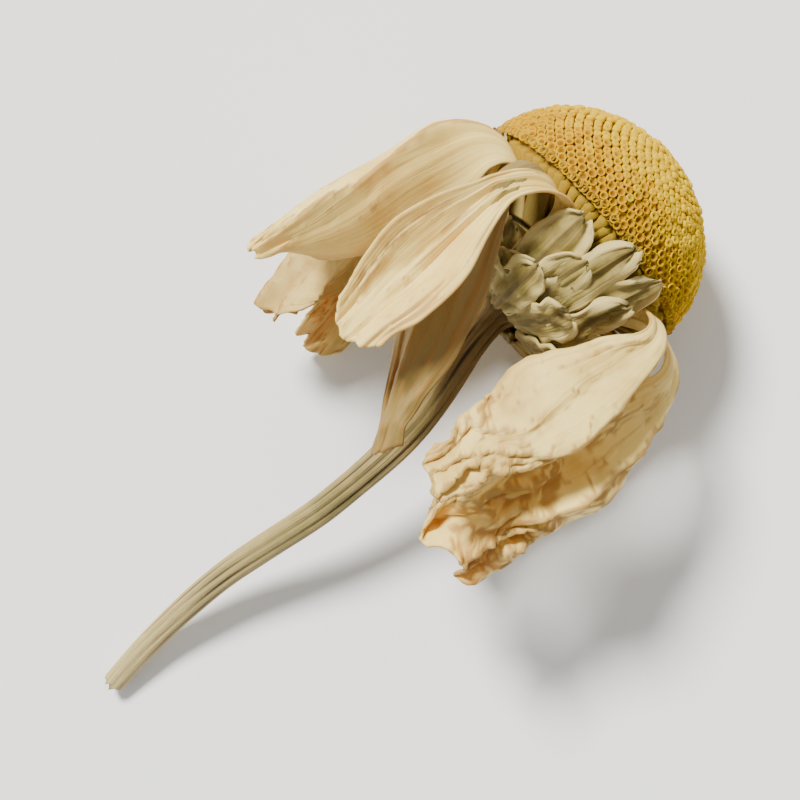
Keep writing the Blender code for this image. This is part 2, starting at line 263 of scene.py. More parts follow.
def head_matrix():
    """Takes the head's own frame to the row's frame, in millimetres."""
    axis = Vector((math.cos(HEAD_TILT), 0, -math.sin(HEAD_TILT)))
    side = Vector((0, 1, 0))
    up = axis.cross(side)
    turn = Matrix((side, up, axis)).transposed().to_4x4()
    return Matrix.Translation(HEAD_CENTRE) @ turn


def finish_piece(name, bm, material, node, place=None, thickness=0):
    """Turns a shape in millimetres into a finished piece, kept above the floor."""
    mesh = bpy.data.meshes.new(name)
    bm.to_mesh(mesh)
    bm.free()
    mesh.transform(Matrix.Scale(MM, 4) @ (place or Matrix.Identity(4)))
    lowest = FLOOR_SKIN + thickness / 2
    for vert in mesh.vertices:
        vert.co.z = max(vert.co.z, lowest)
    mesh.shade_smooth()
    mesh.materials.append(material)
    piece = bpy.data.objects.new(name, mesh)
    bpy.context.scene.collection.objects.link(piece)
    if thickness:
        wall = piece.modifiers.new("thickness", "SOLIDIFY")
        wall.thickness = thickness
        wall.offset = 0
    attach(piece, "root")
    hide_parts(node)
    return piece


def grid_sheet(bm, place, columns, rows, tone):
    """Adds a sheet bent by place(across, along), and marks each point with both."""
    marks = [bm.verts.layers.float[name] for name in ("across", "along", "tone")]
    made = bmesh.ops.create_grid(bm, x_segments=columns, y_segments=rows, size=1)
    for vert in made["verts"]:
        across, along = vert.co.x, (vert.co.y + 1) / 2
        for mark, value in zip(marks, (across, along, tone)):
            vert[mark] = value
        vert.co = place(across, along)


def extrude_ring(bm, edges):
    """Extrudes a closed ring of edges. Returns its new points and its new edges."""
    made = bmesh.ops.extrude_edge_only(bm, edges=edges)["geom"]
    points = [item for item in made if isinstance(item, bmesh.types.BMVert)]
    fresh = set(points)
    edges = [item for item in made if isinstance(item, bmesh.types.BMEdge)]
    return points, [edge for edge in edges if fresh.issuperset(edge.verts)]


def marked_bmesh(*names):
    """An empty bmesh whose points carry these named numbers."""
    bm = bmesh.new()
    for name in names:
        bm.verts.layers.float.new(name)
    return bm


# Materials

class Wire:
    """A socket's output that takes part in sums, adding the Math nodes it needs."""

    def __init__(self, paint, socket):
        self.paint = paint
        self.socket = socket

    def _math(self, operation, first, second):
        return self.paint.add("ShaderNodeMath", {"operation": operation}, {0: first, 1: second})

    def __add__(self, other):
        return self._math("ADD", self, other)

    def __sub__(self, other):
        return self._math("SUBTRACT", self, other)

    def __rsub__(self, other):
        return self._math("SUBTRACT", other, self)

    def __mul__(self, other):
        return self._math("MULTIPLY", self, other)

    def __abs__(self):
        return self._math("ABSOLUTE", self, 0)

    __radd__ = __add__
    __rmul__ = __mul__


class Paint:
    """A material and the nodes that colour it."""

    def __init__(self, name, roughness, **constants):
        self.material = bpy.data.materials.new(name)
        self.material.use_nodes = True
        self.tree = self.material.node_tree
        self.shader = self.tree.nodes["Principled BSDF"]
        self.shader.inputs["Roughness"].default_value = roughness
        for socket, value in constants.items():
            self.shader.inputs[socket.replace("_", " ")].default_value = value

    def feed(self, socket, value):
        """Links a wire to a socket, or sets the socket to a number or a colour."""
        if isinstance(value, Wire):
            self.tree.links.new(value.socket, socket)
        elif socket.type == "RGBA":
            socket.default_value = (*value, 1)
        else:
            socket.default_value = value

    def add(self, kind, settings, inputs, output=0):
        """Adds a node: its settings first, then what its sockets hold."""
        node = self.tree.nodes.new(kind)
        for name, value in settings.items():
            setattr(node, name, value)
        for name, value in inputs.items():
            self.feed(node.inputs[name], value)
        return Wire(self, node.outputs[output])

    def mark(self, name):
        """A number that the mesh carries at its points."""
        settings = {"attribute_type": "GEOMETRY", "attribute_name": name}
        return self.add("ShaderNodeAttribute", settings, {}, "Fac")

    def place(self):
        """The point on the piece, in the row's frame, in metres."""
        return self.add("ShaderNodeTexCoord", {}, {}, "Object")

    def speckle(self, size, detail=3):
        """Noise whose grains are about size metres across."""
        inputs = {"Vector": self.place(), "Scale": 1 / size, "Detail": detail}
        return self.add("ShaderNodeTexNoise", {}, inputs, "Fac")

    def point(self, x, y, z):
        return self.add("ShaderNodeCombineXYZ", {}, {"X": x, "Y": y, "Z": z})

    def streaks(self, across, along, fineness, stretch, seed):
        """Noise in lines that run along a sheet, from its own two marks."""
        at = self.point(across * fineness, along * stretch, seed)
        return self.add("ShaderNodeTexNoise", {}, {"Vector": at, "Scale": 1, "Detail": 4}, "Fac")

    def span(self, value, low, high):
        """0 below low, 1 above high, and smooth between them."""
        settings = {"interpolation_type": "SMOOTHSTEP", "clamp": True}
        inputs = {"Value": value, "From Min": low, "From Max": high}
        return self.add("ShaderNodeMapRange", settings, inputs)

    def blend(self, share, first, second):
        """The first colour at share 0, the second at share 1."""
        settings = {"data_type": "RGBA", "clamp_factor": True}
        return self.add("ShaderNodeMix", settings, {0: share, 6: first, 7: second}, 2)

    def colour(self, value):
        self.feed(self.shader.inputs["Base Color"], value)

    def relief(self, height, depth):
        """Bump of the given depth in metres."""
        inputs = {"Height": height, "Distance": depth, "Strength": 1.0}
        bump = self.add("ShaderNodeBump", {}, inputs)
        self.feed(self.shader.inputs["Normal"], bump)


def floret_material(settings):
    paint = Paint("floret", 0.8, Specular_IOR_Level=0.12, Subsurface_Weight=0.12,
                  Subsurface_Scale=0.0003)
    depth, tone, ripe = (paint.mark(name) for name in ("depth", "tone", "ripe"))
    patch = paint.speckle(0.0018, 2)
    side = paint.add("ShaderNodeSeparateXYZ", {}, {"Vector": paint.place()}, "Y")
    mood = paint.span(ripe * 0.45 + tone * 0.35 + patch * 0.5 + side * 70, 0.35, 1.05)
    face = paint.blend(mood, settings.bud_colour, settings.open_colour)
    pale = paint.span(paint.mark("rim"), 0.3, 1)
    face = paint.blend(pale * 0.75, face, settings.rim_colour)
    grain = paint.speckle(0.00006, 2)
    face = paint.blend(paint.span(grain, 0.4, 0.8) * 0.2, face, settings.open_colour)
    shade = paint.span(depth, 0.1, 1.0)
    paint.colour(paint.blend(shade, face, settings.gap_colour))
    paint.relief(grain, 0.00002)
    return paint.material


def core_material(settings):
    paint = Paint("receptacle", 0.9)
    patch = paint.speckle(0.0004)
    # Painted shade: the receptacle, seen only between the florets, is mottled between the gaps'
    # shade colour and the receptacle colour
    paint.colour(paint.blend(patch, settings.gap_colour, settings.core_colour))
    paint.relief(patch, 0.00005)
    return paint.material


def petal_material(settings):
    paint = Paint("petal", 0.6, Specular_IOR_Level=0.3, Subsurface_Weight=0.12,
                  Subsurface_Scale=0.0006)
    across, along, tone = (paint.mark(name) for name in ("across", "along", "tone"))
    veins = paint.streaks(across, along, 9, 1.6, tone * 9)
    fine = paint.streaks(across, along, 26, 3, tone * 5 + 3)
    patch = paint.speckle(0.0014, 4)
    warm = paint.span(patch + veins * 0.5, 0.6, 1.0)
    face = paint.blend(warm, settings.light_colour, settings.mid_colour)
    # Greying partly by age and partly as painted shade, by each petal's grey value and random
    # patches
    aged_and_shaded = paint.span(tone + patch * 0.8, 0.45, 1.5)
    face = paint.blend(aged_and_shaded, face, settings.grey_age_and_shade_colour)
    brown = paint.span(veins * 0.6 + fine * 0.5, 0.58, 0.8)
    face = paint.blend(brown * 0.36, face, settings.vein_and_crease_shade_colour)
    # Painted shade: sharp folds and creases are darkened towards the vein colour
    valley = paint.span(paint.mark("fold"), 0.25, 1)
    face = paint.blend(valley * 0.7, face, settings.vein_and_crease_shade_colour)
    root = 1 - paint.span(along, 0.02, 0.2)
    face = paint.blend(root * 0.5, face, settings.root_colour)
    rim = paint.span(abs(across) + patch * 0.15, 1.0, 1.1)
    paint.colour(paint.blend(rim * 0.35, face, settings.vein_and_crease_shade_colour))
    paint.relief(veins * 0.6 + fine * 0.4, 0.00005)
    return paint.material


def bract_material(settings):
    paint = Paint("bract", 0.74, Subsurface_Weight=0.1, Subsurface_Scale=0.0004)
    across, along, tone = (paint.mark(name) for name in ("across", "along", "tone"))
    veins = paint.streaks(across, along, 7, 1.2, tone * 9)
    patch = paint.speckle(0.0005, 4)
    face = paint.blend(paint.span(patch, 0.3, 0.7), settings.green_colour, settings.olive_colour)
    face = paint.blend(paint.span(veins, 0.5, 0.8) * 0.6, face, settings.dark_colour)
    rib = 1 - paint.span(abs(across), 0.04, 0.22)
    face = paint.blend(rib * 0.55, face, settings.dark_colour)
    margin = paint.span(abs(across) + along * 0.35 + patch * 0.15, 0.78, 1.12)
    paint.colour(paint.blend(margin, face, settings.margin_colour))
    paint.relief(veins + patch * 0.4, 0.00006)
    return paint.material


def stalk_material(settings):
    paint = Paint("stalk", 0.7, Subsurface_Weight=0.08, Subsurface_Scale=0.0004)
    groove, along, around = (paint.mark(name) for name in ("groove", "along", "around"))
    fibre = paint.streaks(around, along, 9, 9, 1.7)
    patch = paint.speckle(0.0012, 3)
    face = paint.blend(paint.span(patch, 0.35, 0.7), settings.light_colour, settings.green_colour)
    near = 1 - paint.span(along + patch * 0.2, 0.2, 0.65)
    face = paint.blend(near * 0.65, face, settings.brown_colour)
    far = paint.span(along + patch * 0.2, 0.55, 1.05)
    face = paint.blend(far * 0.8, face, settings.straw_colour)
    face = paint.blend(paint.span(fibre, 0.5, 0.75) * 0.6, face, settings.straw_colour)
    dark = paint.span(groove + fibre * 0.3, 0.4, 1.1)
    paint.colour(paint.blend(dark, face, settings.groove_colour))
    paint.relief(fibre, 0.00005)
    return paint.material


def stage_material(settings):
    paint = Paint("pale_surface", 0.85)
    paint.colour(settings.floor_colour)
    return paint.material


# Settings

def length(name, description, default):
    return bpy.props.FloatProperty(
        name=name, description=description, default=default, min=0, unit="LENGTH", precision=6
    )


def colour(name, description, default):
    return bpy.props.FloatVectorProperty(
        name=name, description=description, default=default, min=0, max=1, subtype="COLOR"
    )


class FloretSettings(bpy.types.PropertyGroup):
    count: bpy.props.IntProperty(
        name="Florets", description="Florets on the dome", default=1480, min=50, max=1500
    )
    ripeness: bpy.props.FloatProperty(
        name="Ripeness", description="How far up the dome the florets have opened",
        default=0.5, min=0, max=1, subtype="FACTOR",
    )
    bud_colour: colour("Buds", "Closed florets", (0.66, 0.43, 0.0002))
    open_colour: colour("Open", "Open florets", (0.56, 0.3, 0.0003))
    rim_colour: colour("Rim", "The lowest florets and their tubes", (0.2, 0.13, 0.02))
    gap_colour: colour("Gaps", "The shade between florets", (0.26, 0.11, 0.002))
    core_colour: colour("Receptacle", "The base under the florets", (0.2, 0.1, 0.01))


class PetalSettings(bpy.types.PropertyGroup):
    thickness: length("Thickness", "How thick a petal is", 0.00007)
    ribs: length("Ribs", "Height of a petal's three long ribs", 0.00003)
    light_colour: colour("Light", "The petal's clean face", (0.93, 0.69, 0.22))
    mid_colour: colour("Warm", "Warmer patches", (0.8, 0.52, 0.13))
    # Grey for age, also used as painted shade on petals that lie under the head or under other
    # petals
    grey_age_and_shade_colour: colour("Aged", "Greyish old petals", (0.24, 0.165, 0.04))
    # Besides veins and dry edges, this colour paints the shade in the petals' folds
    vein_and_crease_shade_colour: colour("Veins", "Veins, folds and dry edges", (0.34, 0.16, 0.03))
    root_colour: colour("Root", "The petal's green root", (0.3, 0.2, 0.04))


class BractSettings(bpy.types.PropertyGroup):
    thickness: length("Thickness", "How thick a bract is", 0.00006)
    green_colour: colour("Green", "A bract's green", (0.2, 0.15, 0.025))
    olive_colour: colour("Olive", "A bract's olive", (0.36, 0.27, 0.07))
    dark_colour: colour("Dark", "Midribs and veins", (0.07, 0.04, 0.008))
    margin_colour: colour("Margin", "The papery margin", (0.6, 0.47, 0.17))


class StalkSettings(bpy.types.PropertyGroup):
    ridge: bpy.props.FloatProperty(
        name="Ridges", description="How far the ridges stand out, as a share of the radius",
        default=0.13, min=0, max=0.5, subtype="FACTOR",
    )
    light_colour: colour("Light", "The stalk's face", (0.33, 0.25, 0.08))
    green_colour: colour("Green", "Greener stretches", (0.17, 0.14, 0.03))
    brown_colour: colour("Brown", "Browner near the head", (0.17, 0.09, 0.02))
    straw_colour: colour("Straw", "Dry fibres and the cut end", (0.56, 0.44, 0.19))
    groove_colour: colour("Grooves", "The shade in the grooves", (0.035, 0.022, 0.006))


class StageSettings(bpy.types.PropertyGroup):
    floor_size: length("Floor", "Width of the pale surface", 0.6)
    floor_colour: colour("Surface", "The pale surface", (0.93, 0.93, 0.92))
    sun_strength: bpy.props.FloatProperty(
        name="Key light", description="Strength of the soft key light", default=7.5, min=0
    )
    sky_strength: bpy.props.FloatProperty(
        name="Sky", description="Strength of the light from all round", default=0.55, min=0
    )


# The dome of florets

def dome_point(fall, angle):
    """A point of the dome, fall being the angle from its tip, with soft dents."""
    dent = 1 + DOME_DENT * math.sin(2 * angle + 0.6) * math.sin(fall) ** 2
    depth = DOME_LENGTH - DOME_WIDEST if fall < math.pi / 2 else RIM_DROP
    reach = DOME_RADIUS * math.sin(fall) * dent
    return polar(reach, angle, DOME_WIDEST + depth * math.cos(fall))


def dome_frame(fall, angle):
    """A matrix that stands a floret on the dome, its top at the dome's face."""
    step = 0.02
    at = dome_point(fall, angle)
    down = dome_point(fall + step, angle) - dome_point(fall - step, angle)
    around = dome_point(fall, angle + step) - dome_point(fall, angle - step)
    outward = down.cross(around).normalized()
    turn = outward.to_track_quat("Z", "Y").to_matrix().to_4x4()
    return Matrix.Translation(at) @ turn


def floret_shape(openness):
    """One floret as a mesh: rings of a five-lobed tube, closed in its middle."""
    bm = marked_bmesh("depth")
    depth = bm.verts.layers.float["depth"]
    ring = bmesh.ops.create_circle(bm, segments=FLORET_SIDES, radius=1)["verts"]
    edges = bm.edges[:]
    for number, (bud, opened) in enumerate(zip(BUD_RINGS, OPEN_RINGS)):
        if number:
            ring, edges = extrude_ring(bm, edges)
        lobe, notch, height, shade = (mix(a, b, openness) for a, b in zip(bud, opened))
        for vert in ring:
            angle = math.atan2(vert.co.y, vert.co.x)
            reach = mix(notch, lobe, 0.5 + 0.5 * math.cos(5 * angle))
            vert.co = polar(reach, angle, height)
            vert[depth] = shade
    bmesh.ops.holes_fill(bm, edges=edges)
    bmesh.ops.recalc_face_normals(bm, faces=bm.faces)
    mesh = bpy.data.meshes.new("floret_shape")
    bm.to_mesh(mesh)
    bm.free()
    return mesh


def stamp(bm, shape, place, marks):
    """Adds a copy of a shape, moved by place, with its marks set."""
    before = len(bm.verts)
    bm.from_mesh(shape)
    bm.verts.ensure_lookup_table()
    for vert in bm.verts[before:]:
        vert.co = place @ vert.co
        for layer, value in marks.items():
            vert[bm.verts.layers.float[layer]] = value


def make_florets(settings):
    draw = random.Random(11)
    kinds = [floret_shape(kind / (FLORET_KINDS - 1)) for kind in range(FLORET_KINDS)]
    bm = marked_bmesh("depth", "tone", "ripe", "rim")
    share = 1 - math.cos(LAST_FALL)
    for number in range(settings.count):
        fall = math.acos(1 - share * (number + 0.5) / settings.count)
        angle = number * GOLDEN_ANGLE
        height = fall / LAST_FALL
        ripe = (height - settings.ripeness) / RIPE_SPAN + draw.uniform(-0.25, 0.25)
        ripe = smooth_step(ripe)
        kind = kinds[round(ripe * (FLORET_KINDS - 1))]
        size = (FLORET_SIZE + FLORET_GROWTH * height) * draw.uniform(0.9, 1.1)
        tilt = Matrix.Rotation(draw.uniform(-FLORET_LEAN, FLORET_LEAN), 4, "X")
        lean = Matrix.Rotation(draw.uniform(-FLORET_LEAN, FLORET_LEAN), 4, "Y")
        spin = Matrix.Rotation(draw.uniform(0, math.tau), 4, "Z")
        sink = Matrix.Translation((0, 0, -draw.uniform(0.0, FLORET_SINK) - 0.02 * ripe))
        place = dome_frame(fall, angle) @ sink @ tilt @ lean @ spin @ Matrix.Scale(size, 4)
        marks = {"tone": draw.random(), "ripe": ripe, "rim": smooth_step((height - 0.88) / 0.12)}
        stamp(bm, kind, place, marks)
    for kind in kinds:
        bpy.data.meshes.remove(kind)
    finish_piece("florets", bm, floret_material(settings), "disc_florets",
                 head_matrix())


def make_receptacle(settings):
    """The base that the florets stand on, with its sloping underside."""
    bm = bmesh.new()
    made = bmesh.ops.create_uvsphere(bm, u_segments=96, v_segments=60, radius=1)
    for vert in made["verts"]:
        fall = math.acos(min(max(vert.co.z, -1), 1))
        at = CORE_SHARE * dome_point(min(fall, RIM_FALL), math.atan2(vert.co.y, vert.co.x))
        under = max(fall - RIM_FALL, 0) / (math.pi - RIM_FALL)
        vert.co = (at.x * (1 - under), at.y * (1 - under), mix(at.z, NECK_Z, smooth_step(under * 2)))
    finish_piece("receptacle", bm, core_material(settings), "disc_florets",
                 head_matrix())


def make_rim_tubes(settings):
    """The pale tubes of the lowest florets, which show under the dome's edge."""
    draw = random.Random(5)
    bm = marked_bmesh("depth", "tone", "ripe", "rim")
    marks = {name: bm.verts.layers.float[name] for name in ("depth", "tone", "ripe", "rim")}
    for number in range(RIM_TUBES):
        angle = math.tau * (number + draw.uniform(-0.2, 0.2)) / RIM_TUBES
        top = dome_point(math.radians(draw.uniform(104, 112)), angle)
        foot = polar(NECK_RADIUS + 0.1, angle, NECK_Z + 0.12)
        run = foot - top
        turn = run.to_track_quat("Z", "Y").to_matrix().to_4x4()
        place = Matrix.Translation(top + run * 0.5) @ turn
        made = bmesh.ops.create_cone(
            bm, cap_ends=True, segments=8, radius1=TUBE_TOP_RADIUS, radius2=TUBE_FOOT_RADIUS,
            depth=run.length, matrix=place,
        )
        for vert in made["verts"]:
            # Painted shade: the lower half of each tube, under the dome's edge, is darkened part way
            # towards the gaps' shade colour
            near_top = (vert.co - top).length < run.length / 2
            vert[marks["depth"]] = 0.05 if near_top else 0.5
            vert[marks["tone"]] = draw.random()
            vert[marks["ripe"]] = 0.3
            vert[marks["rim"]] = 1
    finish_piece("rim_tubes", bm, floret_material(settings), "disc_florets",
                 head_matrix())


# The petals

def petal_mid_z(radius):
    """Height of the middle of a petal's root, under the disc's sloping side."""
    return NECK_Z + ROOT_SLOPE * (radius - NECK_RADIUS) - ROOT_DROP


def petal_line(reach, turn):
    """The petal's middle line as (radius, z), bent back at the rim, with headings."""
    steps = PETAL_LINE_STEPS
    lean = math.atan(ROOT_SLOPE)
    line = [Vector((PETAL_START, petal_mid_z(PETAL_START)))]
    headings = []
    for step in range(steps):
        along = (step + 0.5) / steps
        bend = 0.88 * smooth_step((along - 0.08) / 0.27) + 0.12 * smooth_step(along)
        heading = lean - (turn + lean) * bend
        headings.append(heading)
        line.append(line[-1] + Vector((math.cos(heading), math.sin(heading))) * reach / steps)
    return line, headings


def crease(x, y, seed):
    """Sharp creases between smooth bulges: from about -0.6 to 0.4, its highs sharp."""
    return 0.4 - 2 * abs(wander(x, y, seed))


def petal_place(number, petal, ribs):
    """Bends a petal as its solid is bent, with its ribs, folds and crumples."""
    angle = math.radians(petal.angle)
    outward = polar(1, angle, 0)
    around = polar(1, angle + math.pi / 2, 0)
    line, headings = petal_line(petal.reach, math.radians(petal.turn))
    steps = len(headings)
    to_row = head_matrix()

    def place(across, along):
        belly = mix(PETAL_ROOT_SHARE, 1, smooth_step((along - petal.neck) / 0.45))
        belly -= petal.taper * smooth_step((along - 0.65) / 0.35)
        half = PETAL_HALF_WIDTH * petal.width * belly
        half *= 1 + 0.12 * wander(along * 6, across, number + 20)
        tooth = 0.01 * math.cos(3 * math.pi * across) - 0.06 * across * across
        tooth += 0.045 * wander(across * 2.2, number, 3)
        cut = along + tooth * smooth_step((along - 0.8) / 0.2)
        spot = min(max(cut, 0), 0.9999) * steps
        step = int(spot)
        at = line[step].lerp(line[step + 1], spot - step)
        heading = headings[step]
        tangent = outward * math.cos(heading) + Vector((0, 0, math.sin(heading)))
        normal = tangent.cross(around).normalized()
        twist = math.radians(petal.twist) * smooth_step((along - 0.12) / 0.6)
        side = around * math.cos(twist) + normal * math.sin(twist)
        up = normal * math.cos(twist) - around * math.sin(twist)
        grown = smooth_step((along - 0.1) / 0.3)
        arch = petal.curl * half * across * across * smooth_step(along / 0.4)
        wave = PETAL_WAVE * math.sin(5.5 * along + 2.2 * across + petal.angle)
        wave *= smooth_step((along - 0.3) / 0.5)
        relief = ribs / MM * math.cos(3 * math.pi * across)
        for height, fine, long, seed in PETAL_CREASES:
            relief += height * crease(across * fine, along * long, number + seed)
        bent = petal.line + 0.25 * wander(along * 3, 0, number + 41)
        relief -= petal.fold * half * (abs(across - bent) - 0.5)
        wild = petal.crumple * (0.25 + 0.75 * smooth_step((along - 0.45) / 0.4))
        relief += wild * wander(across * 1.3, along * 3.4, number + 5)
        for height, fine, long, seed in PETAL_CRUMPLES:
            relief += wild * height * crease(across * fine, along * long, number + seed)
        slide = wild * 0.35 * wander(across * 2, along * 6, number + 17)
        spread = across * (1 - 0.22 * wild * (1 + wander(across * 2, along * 5, number)))
        point = outward * at.x + Vector((0, 0, at.y)) + tangent * slide * grown
        point += around * petal.sway * along * along * 2
        point += around * petal.lean * smooth_step((along - 0.1) / 0.28)
        point += normal * PETAL_LIFT * (1 - smooth_step((along - 0.5) / 0.4))
        point += side * half * spread + up * (wave - arch + relief * grown)
        point = to_row @ point
        above = point.z - FLOOR_GAP
        point.z = FLOOR_GAP + (above + math.hypot(above, FLOOR_SOFTNESS)) / 2
        return point

    return place


def mark_folds(bm, strength):
    """Marks how sharp a fold each point lies in, from its neighbours' places: the mask for the
    petals' painted shade in their folds.
    """
    fold = bm.verts.layers.float["fold"]
    bm.normal_update()
    for vert in bm.verts:
        around = [edge.other_vert(vert).co for edge in vert.link_edges]
        middle = sum(around, Vector()) / len(around)
        vert[fold] = min(abs((middle - vert.co).dot(vert.normal)) * strength, 1)


def make_petals(settings):
    bm = marked_bmesh("across", "along", "tone", "fold")
    for number, petal in enumerate(PETALS):
        place = petal_place(number, petal, settings.ribs)
        # Each petal's grey value, partly painted shade, goes into its tone mark
        grid_sheet(bm, place, PETAL_COLUMNS, PETAL_ROWS, petal.grey)
    mark_folds(bm, VALLEY_STRENGTH)
    finish_piece("petals", bm, petal_material(settings), "ray_petals",
                 thickness=settings.thickness)


# The cup and its bracts

def cup_profile(share):
    """Outside of the cup: share 0 at the stalk, 1 at the rim. Returns radius, z."""
    bend = share * math.pi / 2
    rim_z = petal_mid_z(CUP_RADIUS) - ROOT_DROP - CUP_RIM_HEIGHT
    radius = CUP_BASE_RADIUS + (CUP_RADIUS - CUP_BASE_RADIUS) * math.sin(bend) ** 0.92
    z = rim_z + (CUP_BASE_Z - rim_z) * math.cos(bend) ** 1.15
    return radius, z


def bract_place(seed, angle, start, end, half_width, stand_off, lift):
    """Lays a bract on the cup, its papery edges waved and its tip torn."""

    def place(across, along):
        share = start + (end - start) * along * (1 + 0.05 * wander(across * 3, 1, seed) * along)
        radius, z = cup_profile(min(share, 1))
        below = Vector(cup_profile(min(share, 1) - 0.02))
        tangent = (Vector((radius, z)) - below).normalized()
        beyond = max(share - 1, 0) * BRACT_BEYOND
        normal = Vector((tangent.y, -tangent.x))
        height = stand_off + lift * along * along - BRACT_HOLLOW * across * across
        height += BRACT_RUFFLE * abs(across) * wander(along * 6, across * 2, seed + 6)
        height += BRACT_MIDRIB * math.exp(-(across / 0.16) ** 2) * (1 - along)
        height += BRACT_WAVE * wander(across * 1.5, along * 3, seed) * along
        height += BRACT_CREASE * crease(across * 2.2, along * 4, seed + 2) * along
        at = Vector((radius, z)) + tangent * beyond + normal * (height + BRACT_SPREAD * beyond)
        outline = math.sqrt(max(1 - max((along - 0.74) / 0.26, 0) ** 3, 0.06))
        half = half_width * (0.42 + 0.58 * smooth_step(along / 0.5)) * outline
        half *= 1 + 0.16 * wander(along * 5, across, seed + 4)
        return polar(at.x, angle, at.y) + polar(1, angle + math.pi / 2, 0) * half * across

    return place


def room_for_bract(angle):
    """How free of petals the rim is at an angle, from 0 at a petal to 1."""
    turn = math.degrees(angle)
    nearest = min(abs((turn - petal.angle + 180) % 360 - 180) for petal in PETALS)
    return smooth_step((nearest - BRACT_NEAR) / BRACT_NEAR_SPAN)


def make_bracts(settings):
    draw = random.Random(3)
    bm = marked_bmesh("across", "along", "tone")
    for count, start, end, half_width, stand_off, lift, room in BRACT_ROWS:
        for number in range(count):
            angle = math.tau * (number + draw.uniform(-0.15, 0.15)) / count
            reach = end + draw.uniform(-0.06, 0.04)
            reach += room_for_bract(angle) * room * draw.uniform(0.8, 1.05)
            width = half_width * draw.uniform(0.85, 1.12)
            proud = stand_off + 0.07 * (number % 2)
            rise = lift * draw.uniform(0.2, 1.6)
            place = bract_place(draw.uniform(0, 50), angle, start, reach, width, proud, rise)
            grid_sheet(bm, place, BRACT_COLUMNS, BRACT_LENGTHS, draw.random())
    finish_piece("bracts", bm, bract_material(settings), "involucre",
                 head_matrix(), thickness=settings.thickness)


def make_cup(settings):
    """The cup that the bracts cover, with the plinth that carries the disc."""
    bm = marked_bmesh("across", "along", "tone")
    profile = [(0, NECK_Z - 0.1), (1.5, NECK_Z - 0.1)]
    profile += [(radius, petal_mid_z(radius) - ROOT_DROP) for radius in (1.5, CUP_RADIUS)]
    profile += [cup_profile(1 - step / CUP_STEPS) for step in range(CUP_STEPS + 1)]
    profile += [(0, CUP_BASE_Z)]
    verts = [bm.verts.new((radius, 0, z)) for radius, z in profile]
    edges = [bm.edges.new(pair) for pair in zip(verts, verts[1:])]
    bmesh.ops.spin(bm, geom=verts + edges, cent=(0, 0, 0), axis=(0, 0, 1),
                   angle=math.tau, steps=CUP_SIDES, use_merge=True)
    bmesh.ops.remove_doubles(bm, verts=bm.verts, dist=0.001)
    bmesh.ops.recalc_face_normals(bm, faces=bm.faces)
    for vert in bm.verts:
        vert[bm.verts.layers.float["across"]] = 0.45
        vert[bm.verts.layers.float["along"]] = 0.3
    finish_piece("cup", bm, bract_material(settings), "involucre", head_matrix())


# The stalk

def catmull(points, share):
    """A point on the smooth curve through points, share running from 0 to 1."""
    last = len(points) - 1
    spot = min(max(share, 0), 0.99999) * last
    i = int(spot)
    t = spot - i
    before, a, b, after = (points[min(max(i + k, 0), last)] for k in (-1, 0, 1, 2))
    slope_a = (b - before) / 2
    slope_b = (after - a) / 2
    return (a * (2 * t**3 - 3 * t**2 + 1) + slope_a * (t**3 - 2 * t**2 + t)
            + b * (3 * t**2 - 2 * t**3) + slope_b * (t**3 - t**2))


def stalk_route():
    to_row = head_matrix()
    base = Vector((HEAD_CENTRE.x, HEAD_CENTRE.y, 0))
    top = to_row @ Vector((0, 0, CUP_BASE_Z - STALK_GAP))
    back = to_row.to_3x3() @ Vector((0, 0, -1))
    neck = top + back * 1.3 + Vector((0, -0.25, -0.03))
    return [top - back * STALK_GAP, neck] + [base + Vector(point) for point in STALK_ROUTE]


def make_stalk(settings):
    """The ridged stalk, shrunk between its ridges, with a torn cut end."""
    bm = marked_bmesh("groove", "along", "around")
    groove, along, around = (bm.verts.layers.float[n] for n in ("groove", "along", "around"))
    route = stalk_route()
    ring = bmesh.ops.create_circle(bm, segments=STALK_SIDES, radius=1)["verts"]
    edges = bm.edges[:]
    bmesh.ops.contextual_create(bm, geom=edges)
    for number in range(STALK_RINGS + 1):
        share = number / STALK_RINGS
        if number:
            ring, edges = extrude_ring(bm, edges)
        at = catmull(route, share)
        ahead = catmull(route, min(share + 0.01, 1)) - catmull(route, max(share - 0.01, 0))
        side = Vector((0, 1, 0)).cross(ahead).normalized()
        up = ahead.normalized().cross(side)
        flare = STALK_TOP_RADIUS - STALK_NECK_RADIUS
        flare *= 1 - smooth_step(share / STALK_FLARE_SHARE)
        radius = mix(STALK_NECK_RADIUS, STALK_END_RADIUS, share) + flare
        for step, vert in enumerate(ring):
            angle = math.tau * step / STALK_SIDES
            turned = angle - STALK_TURN * share
            valley = 0.5 - 0.5 * math.cos(STALK_RIDGES * turned)
            valley = valley ** 2 * (0.6 + 0.5 * wander(math.cos(angle) * 2, share * 9, 2))
            swell = 1 + STALK_SWELL * wander(share * 12, math.sin(angle), 6)
            valley *= smooth_step(share / 0.07)
            ridge = 1 + settings.ridge * (0.5 - 1.5 * valley)
            tear = STALK_TEAR * max(wander(angle * 2, 3, 9), 0)
            tear *= smooth_step((share - 0.985) / 0.015)
            point = at + (side * math.cos(angle) + up * math.sin(angle)) * radius * ridge * swell
            point += ahead.normalized() * tear
            vert.co = (point.x, point.y, max(point.z, STALK_FLOOR))
            vert[groove] = valley
            vert[along] = share
            vert[around] = math.cos(turned) + 1.7 * math.sin(turned)
    bmesh.ops.holes_fill(bm, edges=edges)
    bmesh.ops.recalc_face_normals(bm, faces=bm.faces)
    finish_piece("stalk_skin", bm, stalk_material(settings), "stalk")


# The stage

